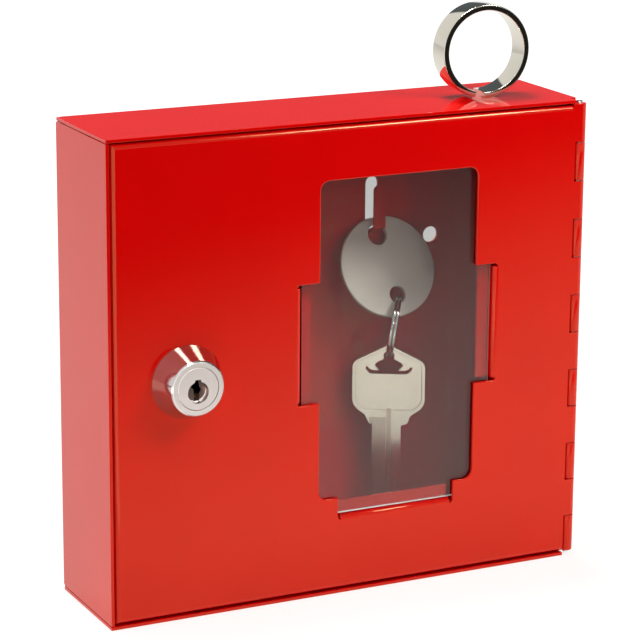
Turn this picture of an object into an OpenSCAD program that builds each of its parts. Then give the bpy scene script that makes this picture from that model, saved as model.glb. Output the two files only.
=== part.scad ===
// Wall-mounted emergency key box of folded sheet steel with a break pane in its door.
// Lengths are in millimetres and angles in degrees. The modules work from the front, bottom, left
// corner of the case, and in_case() puts that corner so that the origin lies under the case's middle.

/* [Case] */
// Outside width of the case
body_w = 160; // [150:1:240]
// Outside height of the case
body_h = 150; // [145:1:240]
// Outside depth of the case
body_d = 41; // [38:0.5:80]
// Thickness of the steel sheet
sheet_t = 1; // [0.8:0.1:1.2]
// Inside radius of the sheet's folds
fold_r = 0.5; // [0.3:0.1:1]
// Open seam between the side walls and the top and bottom
seam_gap = 0.25; // [0.1:0.05:0.6]

/* [Wall holes] */
// Diameter of each screw hole in the back
wall_hole_d = 5.2; // [4:0.1:8]
// Distance between the two screw holes
wall_hole_pitch = 96; // [60:1:110]
// Height of the screw holes above the base
wall_hole_z = 101.7; // [60:0.1:125]

/* [Door] */
// Gap between the door and the case
door_gap = 0.6; // [0.4:0.1:1.5]
// Depth of the door's folded edge
door_rim = 9; // [6:0.5:12]
// Distance from the hinge axis to where the top and bottom folds end
rim_setback = 10; // [7:0.5:20]

/* [Hinge] */
// Diameter of the hinge pin
pin_d = 2; // [1.6:0.1:3]
// Radial clearance of the pin in the knuckles
pin_fit = 0.05; // [0.02:0.01:0.1]
// Number of knuckles, shared in turn by case and door
knuckles = 12; // [6:2:20]
// Gap between neighbouring knuckles
knuckle_gap = 0.3; // [0.2:0.05:0.6]
// Distance from the case's ends to the first and last knuckle
knuckle_inset = 1.2; // [1.1:0.1:4]
// Clearance round a knuckle in the sheet it turns in
knuckle_room = 0.35; // [0.2:0.05:1]

/* [Window] */
// Width of the window
win_w = 54; // [40:0.5:60]
// Height of the window
win_h = 100.6; // [80:0.1:104]
// Middle of the window from the case's left face
win_x = 96.1; // [92:0.1:100]
// Lower edge of the window above the base
win_z = 31.2; // [26:0.1:34]
// Corner radius of the window
win_r = 3; // [1:0.5:6]
// Height of the two side tabs
side_tab_h = 36; // [20:0.5:50]
// Middle of the side tabs above the window's lower edge
side_tab_z = 50.3; // [40:0.1:60]
// Reach of the side tabs behind the pane
side_tab_reach = 4.2; // [3:0.1:9]
// Width of the lower tab
low_tab_w = 38.5; // [20:0.5:44]
// Reach of the lower tab behind the pane
low_tab_reach = 3.8; // [2.5:0.1:6]
// Relief cut beside each tab
tab_relief = 1; // [0.5:0.1:2]

/* [Pane] */
// Width of the break pane
pane_w = 65.4; // [60:0.1:70]
// Thickness of the break pane
pane_t = 2; // [1.5:0.1:3]
// How far the pane goes below the window
pane_below = 5.3; // [4:0.1:8]
// How far the pane goes above the window
pane_above = 8; // [4:0.5:10]
// Play in front of and behind the pane
pane_play = 0.2; // [0.1:0.05:0.4]
// Gap between the pane's edges and the tabs
pane_edge_gap = 0.5; // [0.3:0.1:1]
// Gap under the pane
pane_seat = 0.3; // [0.1:0.05:0.5]

/* [Lock] */
// Lock axis from the case's left face
lock_x = 25; // [22:0.5:27]
// Lock axis above the base
lock_z = 75; // [50:0.5:95]
// How far the bezel covers the door beyond the barrel
bezel_lip = 2; // [1:0.1:3]
// Width of the bezel's front rim round the plug
bezel_rim_w = 1.9; // [1:0.1:2.4]
// Height of the bezel
bezel_h = 8.6; // [7:0.1:14]
// Outside diameter of the lock's threaded barrel
barrel_d = 18.8; // [17:0.1:19]
// Depth of the barrel's two flats
barrel_flat = 1.4; // [0.8:0.1:1.6]
// Length of the barrel behind the door's face
barrel_len = 17; // [15:0.5:18]
// Pitch of the barrel's thread
thread_pitch = 1.5; // [1:0.25:2]
// Clearance of the barrel in the door and the nut
barrel_fit = 0.1; // [0.05:0.01:0.3]
// Diameter of the plug's face
plug_d = 13.2; // [12:0.1:13.6]
// Length of the plug's wide head
plug_head = 6; // [4:0.5:6.5]
// Step from the plug's head down to its body
plug_step = 0.4; // [0.3:0.05:0.6]
// Radial clearance of the plug in its housing
plug_fit = 0.05; // [0.02:0.01:0.1]
// Diameter of the keyhole recess
keyhole_d = 6.7; // [5:0.1:7.5]
// Distance of the keyhole below the plug's middle
keyhole_drop = 1.15; // [0:0.05:2]
// Height of the keyway's top above the keyhole's middle
keyway_top = 3.9; // [3.5:0.1:5]
// Width of the keyway
keyway_w = 1.8; // [1.2:0.1:2.4]
// Height of the keyway
keyway_h = 7; // [6:0.1:8]
// Thickness of a wafer
wafer_t = 1; // [0.8:0.1:1.2]
// Clearance round a wafer in its slot
wafer_fit = 0.1; // [0.05:0.05:0.15]
// Diameter of a wafer's spring
wafer_spring_d = 1.4; // [1:0.1:1.6]

/* [Lock fixings] */
// Thickness of the lock washer under the nut
washer_t = 1.2; // [0.6:0.1:2]
// Width of the lock washer round the barrel
washer_w = 2.5; // [1.6:0.1:3]
// Wall of the nut at the middle of its flats
nut_wall = 2.25; // [1.5:0.05:3]
// Thickness of the nut
nut_t = 3.5; // [2.5:0.5:5]
// Width of the square tail that turns the cam
tail_w = 6; // [5:0.1:7]
// Gap round the square tail
tail_fit = 0.08; // [0.05:0.01:0.2]
// Gap between stacked parts on the tail
stack_gap = 0.1; // [0.05:0.05:0.2]
// Thickness of the stop plate
stop_t = 1.2; // [0.8:0.1:2]
// Width of the stop plate's finger
stop_finger_w = 3; // [2:0.1:4]
// Gap between the stop finger and the end of its path
stop_room = 0.15; // [0.1:0.05:0.4]
// Thickness of the cam
cam_t = 2; // [1.5:0.1:3]
// Length of the cam from the lock axis to its tip
cam_len = 21.6; // [19:0.1:22.5]
// Width of the cam
cam_w = 12; // [10:0.5:14]
// Diameter of the cam washer
cam_washer_d = 10; // [9:0.5:12]
// Thickness of the cam washer
cam_washer_t = 0.8; // [0.5:0.1:1.2]
// Diameter of the cam screw's thread
cam_screw_d = 3.9; // [3:0.1:4.2]
// Diameter of the cam screw's head
cam_screw_head_d = 7.2; // [6:0.1:8]
// Height of the cam screw's head
cam_screw_head_h = 2.4; // [1.8:0.1:3]
// Length of thread in the plug
cam_screw_bite = 5; // [3:0.5:6]

/* [Keeper] */
// Thickness of the keeper's steel
keeper_t = 1.2; // [1:0.1:1.6]
// How far the keeper stands out from the wall
keeper_reach = 5.8; // [4:0.1:6.5]
// Height of the keeper
keeper_h = 24; // [16:1:40]
// Length of the keeper's foot along the wall
keeper_foot = 11; // [8:0.5:14]
// Gap between the keeper and the turned cam
keeper_gap = 0.6; // [0.3:0.1:1]

/* [Hook] */
// Middle of the hook to the right of the window's middle
hook_shift = 10.4; // [-12:0.1:12]
// Height of the hook's root above the base
hook_z = 104.4; // [90:0.1:106]
// Width of the hook's strip
hook_w = 4; // [3:0.1:5]
// Width of the slot that the strip was cut from
hook_slot_w = 4.4; // [3.6:0.1:6]
// Length of the slot
hook_slot_h = 17.8; // [14:0.1:24]
// Clear space between the hook and the back
hook_throat = 5; // [4:0.1:7]
// Rise of the hook's root above level
hook_rise = 25; // [15:1:35]
// Length of the hook's upright part
hook_up = 13.8; // [8:0.1:18]

/* [Tag] */
// Diameter of the key tag
tag_d = 33; // [28:0.5:40]
// Thickness of the key tag
tag_t = 1.6; // [1:0.1:2]
// Diameter of the tag's hook hole
tag_hook_hole = 6.7; // [6.5:0.1:9]
// Diameter of the tag's ring hole
tag_ring_hole = 5.6; // [5.5:0.1:6.2]
// Distance of the hook hole from the tag's middle
tag_hook_offset = 10.6; // [9:0.1:11]
// Distance of the ring hole from the tag's middle
tag_ring_offset = 9.6; // [8:0.1:11]
// Gap between the hook and the tag's hole
tag_gap = 0.25; // [0.15:0.05:0.5]
// How far along the hook's root the tag hangs
tag_station = 3.7; // [3:0.1:4.2]
// Sideways turn of the tag
tag_turn = 9; // [0:1:10]

/* [Link ring] */
// Outside diameter of the link ring
link_d = 20.4; // [18:0.1:22]
// Width of the link ring's wire pair
link_w = 2.2; // [1.6:0.1:2.4]
// Thickness of the link ring's wire
link_t = 1.5; // [1.2:0.1:1.7]
// Turn of the link ring about the vertical
link_yaw = 30; // [20:1:36]
// Sideways lean of the link ring
link_lean = 8.5; // [4:0.5:12]
// Ring seat to the right of the tag's ring hole
link_side = 0.5; // [0.4:0.05:0.6]
// Ring seat below the middle of the tag's ring hole
link_drop = 1; // [0.8:0.05:1.1]

/* [Key] */
// Thickness of the key
key_t = 2; // [1.6:0.1:2.4]
// Width of the key's bow
key_bow_w = 23.4; // [22:0.1:26]
// Height of the key's bow above its shoulder
key_bow_h = 25.9; // [24:0.1:28]
// Width of the key's blade
key_blade_w = 9.3; // [8:0.1:10]
// Length of the key's blade
key_blade_len = 27; // [20:0.5:27]
// Depth of the pressed panel on the bow
key_panel_depth = 0.25; // [0.1:0.05:0.4]
// Gap between the key and the ring it hangs on
key_gap = 0.4; // [0.3:0.05:0.5]

/* [Loose ring] */
// Outside diameter of the loose ring
loose_d = 29.2; // [26:0.5:38]
// Wall of the loose ring
loose_t = 1.8; // [1.2:0.1:2.6]
// Width of the loose ring's band
loose_w = 8.5; // [6:0.1:12]
// Open gap in the loose ring
loose_slit = 3; // [1:0.1:5]
// Middle of the loose ring from the case's right face
loose_right = 26.5; // [20:0.5:60]
// Front edge of the loose ring behind the case's front
loose_back = 14.8; // [6:0.1:20]
// Turn of the loose ring about the vertical
loose_yaw = 4; // [0:1:20]

/* [Hidden] */

$fn = 48;
past = 1; // how far a cutting shape runs past the face it cuts

// Folded sheet
fold_out = fold_r + sheet_t;
back_y = body_d - sheet_t;
corner_relief = fold_out + 0.2;

// Hinge
bore_r = pin_d / 2 + pin_fit;
barrel_r = bore_r + sheet_t;
hinge_x = body_w;
hinge_y = barrel_r;
knuckle_pitch = (body_h - 2 * knuckle_inset) / knuckles;
knuckle_h = knuckle_pitch - knuckle_gap;
knuckle_bay = barrel_r + knuckle_room;
pin_short = 0.6; // the pin ends this far inside the case's height

// Door
door_x = sheet_t + door_gap;
door_z = sheet_t + door_gap;
door_h = body_h - 2 * door_z;

// Pane and its tabs
pane_x = win_x - pane_w / 2;
pane_z = win_z - pane_below;
pane_h = win_h + pane_below + pane_above;
pane_y = sheet_t + pane_play;
tab_y = pane_y + pane_t + pane_play;
tab_bend = fold_r + sheet_t;
side_face = pane_w / 2 + pane_edge_gap;
low_face = pane_z - pane_seat;
notch_r = 1;

// Lock stack, measured back from the door's face
lock_r = barrel_d / 2;
lock_bore_r = lock_r + barrel_fit;
barrel_flats = barrel_d - 2 * barrel_flat;
bezel_r = lock_r + bezel_lip;
bezel_rim_r = plug_d / 2 + plug_fit + bezel_rim_w;
plug_body_d = plug_d - 2 * plug_step;
washer_r = lock_bore_r + washer_w;
nut_r = (lock_bore_r + nut_wall) / cos(30);
thread_depth = 0.6;
thread_start = sheet_t + washer_t;
stop_y = barrel_len + stack_gap;
stop_ring_t = stop_t + 2 * stack_gap;
cam_y = barrel_len + stop_ring_t + stack_gap;
tail_end = cam_y + cam_t - stack_gap;
cam_washer_y = cam_y + cam_t + stack_gap;
cam_head_y = cam_washer_y + cam_washer_t;
wafer_cuts = [0.8, 0, 0.4, -0.4, 0.6]; // how far each wafer's window sits off the middle
wafers = len(wafer_cuts);
wafer_pitch = 2.6;
wafer_first = -0.6;
wafer_reach = plug_body_d / 2 - 0.15;
keyway_mid = keyway_top - keyhole_drop - keyway_h / 2;
wafer_w = 6.4;
wafer_arm = 2.1;
wafer_arm_t = 1.2;
wafer_travel = 0.8;
wafer_spring_len = 3;
wafer_spring_wall = 0.35;
spring_x = wafer_w / 2 + wafer_arm - wafer_spring_d / 2 - wafer_fit;

// Keeper
keeper_y = cam_y - keeper_gap - keeper_t;

// Hook
hook_x = win_x + hook_shift;
hook_root_y = back_y + sheet_t / 2;
hook_front = back_y - hook_throat - sheet_t / 2;
hook_run = (hook_root_y - hook_front) / cos(hook_rise);
hook_bend_z = hook_z + hook_run * sin(hook_rise);

// Tag: its own upright axis is tilted square to the hook's root
strip_chord = sqrt(pow(tag_hook_hole / 2 - tag_gap, 2) - pow(hook_w / 2, 2));
tag_drop = sheet_t / 2 - strip_chord;
tag_y = hook_root_y - tag_station * cos(hook_rise) + tag_drop * sin(hook_rise);
tag_z = hook_z + tag_station * sin(hook_rise) + tag_drop * cos(hook_rise);
tag_rim = 0.3;
tag_pitch = tag_hook_offset + tag_ring_offset;

// Link ring, hung in the tag's lower hole
link_mid = (link_d - link_t) / 2;
link_local = [tag_pitch * sin(tag_turn) + link_side, 0, -tag_pitch * cos(tag_turn) - link_drop];
link_x = hook_x + link_local.x;
link_y = tag_y + link_local.z * sin(hook_rise);
link_z = tag_z + link_local.z * cos(hook_rise);
link_groove = 0.16;

// Key, hung on the lowest point of the link ring
key_side = -2 * link_mid * sin(link_lean);
key_x = link_x + key_side * cos(link_yaw);
key_y = link_y - key_side * sin(link_yaw);
key_z = link_z - 2 * link_mid * cos(link_lean);
key_eye_top = link_t / 2 + key_gap;
key_bar = 2;
key_apex = key_eye_top + key_bar;
key_shoulder = key_apex - key_bow_h;
key_blade_shift = 0.55; // the blade sits left of the bow's middle
key_blade_left = -key_blade_w / 2 - key_blade_shift;
key_blade_right = key_blade_w / 2 - key_blade_shift;
key_tip = key_shoulder - key_blade_len;
key_slot_w = 1.5;
key_slot_x = -0.55;

// Loose ring
loose_mid_x = body_w - loose_right;
loose_edge = 0.7;

// Moves the case's front, bottom, left corner so that the origin lies under its middle
module in_case() {
  translate([-body_w / 2, -body_d / 2, 0]) children();
}

// Turns a flat outline in X and Z into a plate that goes back from y = 0
module plate(t) {
  rotate([90, 0, 0]) translate([0, 0, -t]) linear_extrude(t) children();
}

// Round bar or hole along Y
module rod_y(r, len) {
  rotate([-90, 0, 0]) cylinder(r = r, h = len);
}

// Body of revolution about Y, from an outline of [radius, distance back]
module turned(outline) {
  rotate([-90, 0, 0]) rotate_extrude() polygon(outline);
}

// Outline w wide and d deep whose two far corners are rounded
module far_round(w, d, r) {
  square([w, d - r]);
  translate([r, 0]) square([w - 2 * r, d]);
  for (x = [r, w - r]) translate([x, d - r]) circle(r);
}

// Rectangle with four rounded corners, its lower left corner at the origin
module round_rect(w, h, r) {
  translate([r, 0]) square([w - 2 * r, h]);
  translate([0, r]) square([w, h - 2 * r]);
  for (x = [r, w - r], z = [r, h - r]) translate([x, z]) circle(r);
}

// Block of the case's outside, or of its inside when set in by one sheet
module case_block(inset, r) {
  front = inset > 0 ? past : 0;
  depth = body_d - inset + front;
  intersection() {
    translate([inset, -front, 0]) linear_extrude(body_h)
      far_round(body_w - 2 * inset, depth, r);
    translate([0, -front, inset]) rotate([90, 0, 90]) linear_extrude(body_w)
      translate([0, body_h - 2 * inset]) mirror([0, 1])
        mirror([1, -1]) far_round(body_h - 2 * inset, depth, r);
  }
}

// Foot of each knuckle of the case (first = 0) or of the door (first = 1)
module at_knuckles(first) {
  for (i = [first : 2 : knuckles - 1])
    translate([hinge_x, hinge_y, knuckle_inset + knuckle_gap / 2 + i * knuckle_pitch])
      children();
}

module hinge_bore() {
  translate([hinge_x, hinge_y, -past]) cylinder(r = bore_r, h = body_h + 2 * past);
}

// Outline, seen from the side, of a strip that leaves the back and turns up
module hook_outline() {
  translate([hook_root_y, hook_z]) rotate(180 - hook_rise)
    translate([0, -sheet_t / 2]) square([hook_run, sheet_t]);
  translate([hook_front, hook_bend_z]) circle(sheet_t / 2, $fn = 24);
  translate([hook_front - sheet_t / 2, hook_bend_z])
    square([sheet_t, hook_up - hook_w / 2]);
}

module hook() {
  tip_z = hook_bend_z + hook_up - hook_w / 2;
  translate([hook_x - hook_w / 2, 0, 0]) rotate([90, 0, 90])
    linear_extrude(hook_w) hook_outline();
  translate([hook_x, hook_front - sheet_t / 2, tip_z]) rod_y(hook_w / 2, sheet_t);
}

module hook_slot() {
  slot_z = hook_z + sheet_t / 2;
  translate([hook_x - hook_slot_w / 2, back_y - past, slot_z])
    plate(sheet_t + 2 * past) union() {
      square([hook_slot_w, hook_slot_h - hook_slot_w / 2]);
      translate([hook_slot_w / 2, hook_slot_h - hook_slot_w / 2]) circle(hook_slot_w / 2);
    }
}

// Open seams where the side walls meet the top and bottom, with a relief at each back corner
module case_seams() {
  for (x = [-past, body_w - sheet_t], z = [sheet_t, body_h - sheet_t - seam_gap])
    translate([x, -past, z])
      cube([sheet_t + past, back_y - fold_r + past, seam_gap]);
  for (x = [0, body_w], z = [0, body_h])
    translate([x, body_d, z]) cube(2 * corner_relief, center = true);
}

module body_shell() {
  color([0.8, 0.05, 0.04]) in_case() difference() {
    union() {
      difference() {
        case_block(0, fold_out);
        case_block(sheet_t, fold_r);
        case_seams();
        hook_slot();
        // Room for the hinge along the right wall and at the two front corners
        translate([body_w - sheet_t - past, -past, -past])
          cube([sheet_t + 2 * past, hinge_y + knuckle_bay + past, body_h + 2 * past]);
        for (z = [-past, body_h - sheet_t - past])
          translate([hinge_x - knuckle_bay, -past, z])
            cube([knuckle_bay + past, hinge_y + knuckle_bay + past, sheet_t + 2 * past]);
        for (side = [-1, 1])
          translate([body_w / 2 + side * wall_hole_pitch / 2, back_y - past, wall_hole_z])
            rod_y(wall_hole_d / 2, sheet_t + 2 * past);
      }
      hook();
      at_knuckles(0) {
        cylinder(r = barrel_r, h = knuckle_h);
        translate([-sheet_t, 0, 0]) cube([sheet_t, knuckle_bay + past, knuckle_h]);
      }
    }
    hinge_bore();
  }
}

// L-shaped strike that the cam turns behind, spot welded to the left wall
module keeper_bracket() {
  r_out = keeper_t + fold_r;
  color("silver") in_case() translate([sheet_t, keeper_y, lock_z - keeper_h / 2])
    linear_extrude(keeper_h) {
      translate([0, r_out]) square([keeper_t, keeper_foot - r_out]);
      translate([r_out, 0]) square([keeper_reach - r_out, keeper_t]);
      difference() {
        intersection() {
          translate([r_out, r_out]) circle(r_out);
          square(r_out);
        }
        translate([r_out, r_out]) circle(fold_r);
      }
    }
}

// Block of the door's outside, or of its inside, open to the right and to the back
module door_block(inset, r) {
  past_end = inset > 0 ? past : 0;
  w = hinge_x - door_x - inset + past_end;
  d = door_rim - inset + past_end;
  h = door_h - 2 * inset;
  translate([door_x + inset, inset, door_z + inset]) intersection() {
    linear_extrude(h) {
      translate([r, 0]) square([w - r, d]);
      translate([0, r]) square([w, d - r]);
      translate([r, r]) circle(r);
    }
    rotate([90, 0, 90]) linear_extrude(w) {
      translate([0, r]) square([d, h - 2 * r]);
      translate([r, 0]) square([d - r, h]);
      for (z = [r, h - r]) translate([r, z]) circle(r);
    }
  }
}

// Window with a notch for each tab, cut as far as the tabs' folds
module window_outline() {
  side_w = side_face + tab_bend;
  side_h = side_tab_h + 2 * tab_relief;
  low_w = low_tab_w + 2 * tab_relief;
  low_z = low_face - tab_bend;
  translate([win_x - win_w / 2, win_z]) round_rect(win_w, win_h, win_r);
  translate([win_x - side_w, win_z + side_tab_z - side_h / 2])
    round_rect(2 * side_w, side_h, notch_r);
  translate([win_x - low_w / 2, low_z]) round_rect(low_w, win_z - low_z + 2 * win_r, notch_r);
}

// Cross-section of a tab: from the door's face back along x = 0, then on behind the pane
module tab_outline(reach) {
  difference() {
    intersection() {
      translate([-tab_bend, tab_bend]) circle(tab_bend);
      translate([-tab_bend, 0]) square(tab_bend);
    }
    translate([-tab_bend, tab_bend]) circle(fold_r);
  }
  translate([-sheet_t, tab_bend]) square([sheet_t, tab_y - fold_r - tab_bend]);
  difference() {
    intersection() {
      translate([fold_r, tab_y - fold_r]) circle(tab_bend);
      translate([-sheet_t, tab_y - fold_r]) square(tab_bend);
    }
    translate([fold_r, tab_y - fold_r]) circle(fold_r);
  }
  translate([fold_r, tab_y]) square([reach - fold_r, sheet_t]);
}

module pane_tabs() {
  for (side = [0, 1])
    translate([win_x, 0, win_z + side_tab_z - side_tab_h / 2]) mirror([side, 0, 0])
      translate([-side_face, 0, 0]) linear_extrude(side_tab_h) tab_outline(side_tab_reach);
  translate([win_x + low_tab_w / 2, 0, low_face]) rotate([0, -90, 0])
    linear_extrude(low_tab_w) tab_outline(low_tab_reach);
}

// Round hole with two flats that keeps the lock from turning
module lock_hole() {
  translate([lock_x, -past, lock_z]) intersection() {
    rod_y(lock_bore_r, sheet_t + 2 * past);
    translate([-barrel_flats / 2 - barrel_fit, 0, -barrel_d])
      cube([barrel_flats + 2 * barrel_fit, sheet_t + 2 * past, 2 * barrel_d]);
  }
}

module door_panel() {
  color([0.83, 0.07, 0.05]) in_case() difference() {
    union() {
      difference() {
        door_block(0, fold_out);
        door_block(sheet_t, fold_r);
        translate([0, -past, 0]) plate(sheet_t + 2 * past) window_outline();
        // The folds stop short of the hinge and are open at the free corners
        translate([hinge_x - rim_setback, sheet_t, 0])
          cube([rim_setback + past, door_rim, body_h]);
        for (z = [door_z, door_z + door_h])
          translate([door_x, door_rim / 2 + corner_relief, z])
            cube([2 * corner_relief, door_rim, 2 * corner_relief], center = true);
        at_knuckles(0)
          translate([-knuckle_bay, -hinge_y - past, -knuckle_gap])
            cube([knuckle_bay + past, sheet_t + 2 * past, knuckle_h + 2 * knuckle_gap]);
      }
      at_knuckles(1) {
        cylinder(r = barrel_r, h = knuckle_h);
        translate([-knuckle_bay - past, -hinge_y, 0])
          cube([knuckle_bay + past, sheet_t, knuckle_h]);
      }
      pane_tabs();
    }
    lock_hole();
    hinge_bore();
  }
}

module hinge_pin() {
  color("gainsboro") in_case() translate([hinge_x, hinge_y, pin_short])
    cylinder(d = pin_d, h = body_h - 2 * pin_short);
}

module break_pane() {
  color([0.75, 0.85, 0.85, 0.35]) in_case()
    translate([pane_x, pane_y, pane_z]) cube([pane_w, pane_t, pane_h]);
}

// Threaded outside of the barrel: one ridge after another between two depths
function thread_points(y, end) = y + thread_pitch > end ? [] : concat(
  [[lock_r - thread_depth, y], [lock_r, y + thread_pitch / 2]],
  thread_points(y + thread_pitch, end));

// Chromed housing: cone-shaped bezel in front of the door, threaded barrel behind it
module lock_housing() {
  edge = 0.5;
  head_r = plug_d / 2 + plug_fit;
  body_r = plug_body_d / 2 + plug_fit;
  step_y = -bezel_h + plug_head;
  outline = concat(
    [[head_r, -bezel_h], [bezel_rim_r - edge, -bezel_h], [bezel_rim_r, -bezel_h + edge],
     [bezel_r, -edge], [bezel_r, 0], [lock_r, 0], [lock_r, thread_start]],
    thread_points(thread_start, barrel_len),
    [[lock_r - thread_depth, barrel_len], [body_r, barrel_len],
     [body_r, step_y], [head_r, step_y]]);
  color("silver") in_case() translate([lock_x, 0, lock_z]) difference() {
    union() {
      intersection() {
        turned(outline);
        union() {
          translate([-bezel_r, -bezel_h, -bezel_r]) cube([2 * bezel_r, bezel_h, 2 * bezel_r]);
          translate([-barrel_flats / 2, -past, -bezel_r])
            cube([barrel_flats, barrel_len + 2 * past, 2 * bezel_r]);
        }
      }
      // Raised ring behind the barrel, open over the quarter that the stop finger crosses
      translate([0, barrel_len, 0]) difference() {
        rod_y(barrel_flats / 2, stop_ring_t);
        translate([0, -past, 0]) rod_y(body_r + stack_gap, stop_ring_t + 2 * past);
        translate([-barrel_d, 0, -barrel_d])
          cube([barrel_d + stop_finger_w / 2 + stop_room, stop_ring_t + past,
                barrel_d + stop_finger_w / 2 + stop_room]);
      }
    }
    // Two grooves that the wafers drop into when no key holds them in
    translate([-wafer_w / 2 - wafer_fit, wafer_first - past, -body_r - wafer_travel])
      cube([wafer_w + 2 * wafer_fit, (wafers - 1) * wafer_pitch + wafer_t + 2 * past,
            2 * (body_r + wafer_travel)]);
  }
}

module lock_washer() {
  teeth = 12;
  color("lightgray") in_case() translate([lock_x, sheet_t, lock_z]) difference() {
    rod_y(washer_r, washer_t);
    translate([0, -past, 0]) rod_y(lock_bore_r, washer_t + 2 * past);
    for (i = [0 : teeth - 1])
      rotate([0, i * 360 / teeth, 0]) translate([washer_r + 0.4, -past, 0])
        rod_y(washer_w * 0.55, washer_t + 2 * past, $fn = 16);
  }
}

module lock_nut() {
  color("lightgray") in_case() translate([lock_x, sheet_t + washer_t, lock_z]) difference() {
    rotate([-90, 0, 0]) cylinder(r = nut_r, h = nut_t, $fn = 6);
    translate([0, -past, 0]) rod_y(lock_bore_r, nut_t + 2 * past);
  }
}

function wafer_y(i) = wafer_first + i * wafer_pitch;

// Inside size of a wafer's window, which the key passes through
function wafer_window() = [2 * keyway_w + 0.6, keyway_h + 0.4];

// Keyway outline as seen from the front: a crooked slot, so that only its own key enters
module keyway_outline() {
  half = keyway_h / 2;
  jog = keyway_w / 3;
  polygon([[-jog, -half], [keyway_w - jog, -half], [keyway_w - jog, -half / 3],
           [keyway_w, 0], [keyway_w - jog, half / 4], [keyway_w / 2, half],
           [-keyway_w / 2, half], [-keyway_w, half / 3], [-jog, 0]]);
}

// Turning cylinder with its keyhole, wafer slots and the square tail that carries the cam
module lock_plug() {
  face_y = -bezel_h + 0.1;
  step_y = -bezel_h + plug_head;
  head_r = plug_d / 2;
  body_r = plug_body_d / 2;
  edge = 0.25;
  recess = 2.2;
  key_depth = 20;
  outline = [[0, face_y], [head_r - edge, face_y], [head_r, face_y + edge],
             [head_r, step_y - stack_gap], [body_r, step_y - stack_gap],
             [body_r, barrel_len], [0, barrel_len]];
  color([0.88, 0.84, 0.8]) in_case() translate([lock_x, 0, lock_z]) difference() {
    union() {
      turned(outline);
      translate([-tail_w / 2, barrel_len - past, -tail_w / 2])
        cube([tail_w, tail_end - barrel_len + past, tail_w]);
    }
    translate([0, face_y - past, -keyhole_drop]) rod_y(keyhole_d / 2, recess + past);
    translate([0, face_y - past, keyway_mid])
      plate(key_depth + past) keyway_outline();
    for (i = [0 : wafers - 1]) translate([0, wafer_y(i), 0]) {
      translate([-wafer_w / 2 - wafer_fit, -wafer_fit, -plug_body_d])
        cube([wafer_w + 2 * wafer_fit, wafer_t + 2 * wafer_fit, 2 * plug_body_d]);
      // Pocket for the wafer's side arm, with its spring below
      translate([0, -wafer_fit, -wafer_fit])
        cube([wafer_w / 2 + wafer_arm + wafer_fit, wafer_t + 2 * wafer_fit,
              wafer_arm_t + wafer_travel + 2 * wafer_fit]);
      translate([spring_x, wafer_t / 2, -wafer_spring_len - wafer_fit])
        cylinder(r = wafer_spring_d / 2 + wafer_fit, h = wafer_spring_len + wafer_arm_t);
    }
    translate([0, tail_end - cam_screw_bite - 1, 0])
      rod_y(cam_screw_d / 2 + stack_gap, cam_screw_bite + 2);
  }
}

// One wafer, held flush with the plug as the right key holds it
module wafer(i) {
  window = wafer_window();
  color("goldenrod") in_case() translate([lock_x, wafer_y(i), lock_z]) plate(wafer_t) difference() {
    union() {
      intersection() {
        translate([-wafer_w / 2, -wafer_reach]) square([wafer_w, 2 * wafer_reach]);
        circle(wafer_reach);
      }
      square([wafer_w / 2 + wafer_arm, wafer_arm_t]);
    }
    translate([-window.x / 2, keyway_mid - window.y / 2 + wafer_cuts[i]]) square(window);
  }
}

// One small compression spring under each wafer's arm, drawn as its sleeve
module wafer_springs() {
  color("silver") in_case() translate([lock_x, 0, lock_z])
    for (i = [0 : wafers - 1])
      translate([spring_x, wafer_y(i) + wafer_t / 2, -wafer_spring_len]) difference() {
        cylinder(d = wafer_spring_d, h = wafer_spring_len, $fn = 24);
        translate([0, 0, -past])
          cylinder(d = wafer_spring_d - 2 * wafer_spring_wall, h = wafer_spring_len + 2 * past,
                   $fn = 24);
      }
}

// Square hole that fits over the plug's tail
module tail_hole(t) {
  w = tail_w + 2 * tail_fit;
  translate([-w / 2, -past, -w / 2]) cube([w, t + 2 * past, w]);
}

module cam_stop() {
  color("lightgray") in_case() translate([lock_x, stop_y, lock_z]) difference() {
    union() {
      rod_y(plug_body_d / 2 - stack_gap, stop_t);
      translate([-stop_finger_w / 2, 0, -barrel_flats / 2])
        cube([stop_finger_w, stop_t, barrel_flats / 2]);
    }
    tail_hole(stop_t);
  }
}

// Flat cam that points down when the lock is open
module lock_cam() {
  color("silver") in_case() translate([lock_x, cam_y, lock_z]) difference() {
    plate(cam_t) union() {
      circle(cam_w / 2);
      translate([-cam_w / 2, -cam_len + cam_w / 3]) square([cam_w, cam_len - cam_w / 3]);
      intersection() {
        translate([-cam_w / 2, -cam_len]) square([cam_w, cam_w / 3]);
        translate([0, -cam_len + cam_w * 5 / 6]) circle(cam_w * 5 / 6);
      }
    }
    tail_hole(cam_t);
  }
}

module cam_washer() {
  color("gainsboro") in_case() translate([lock_x, cam_washer_y, lock_z]) difference() {
    rod_y(cam_washer_d / 2, cam_washer_t);
    translate([0, -past, 0])
      rod_y(cam_screw_d / 2 + stack_gap, cam_washer_t + 2 * past);
  }
}

module cam_screw() {
  cross_w = 1;
  color("gainsboro") in_case() translate([lock_x, cam_head_y, lock_z]) difference() {
    union() {
      turned([[0, 0], [cam_screw_head_d / 2, 0], [cam_screw_head_d / 2, cam_screw_head_h / 2],
              [cam_screw_head_d / 2 - 0.5, cam_screw_head_h * 0.85],
              [cam_screw_head_d / 4, cam_screw_head_h], [0, cam_screw_head_h]]);
      translate([0, tail_end - cam_screw_bite - cam_head_y, 0])
        rod_y(cam_screw_d / 2, cam_head_y - tail_end + cam_screw_bite);
    }
    for (a = [0, 90]) rotate([0, a, 0])
      translate([-cross_w / 2, cam_screw_head_h / 2, -cam_screw_head_d / 4])
        cube([cross_w, cam_screw_head_h, cam_screw_head_d / 2]);
  }
}

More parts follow.
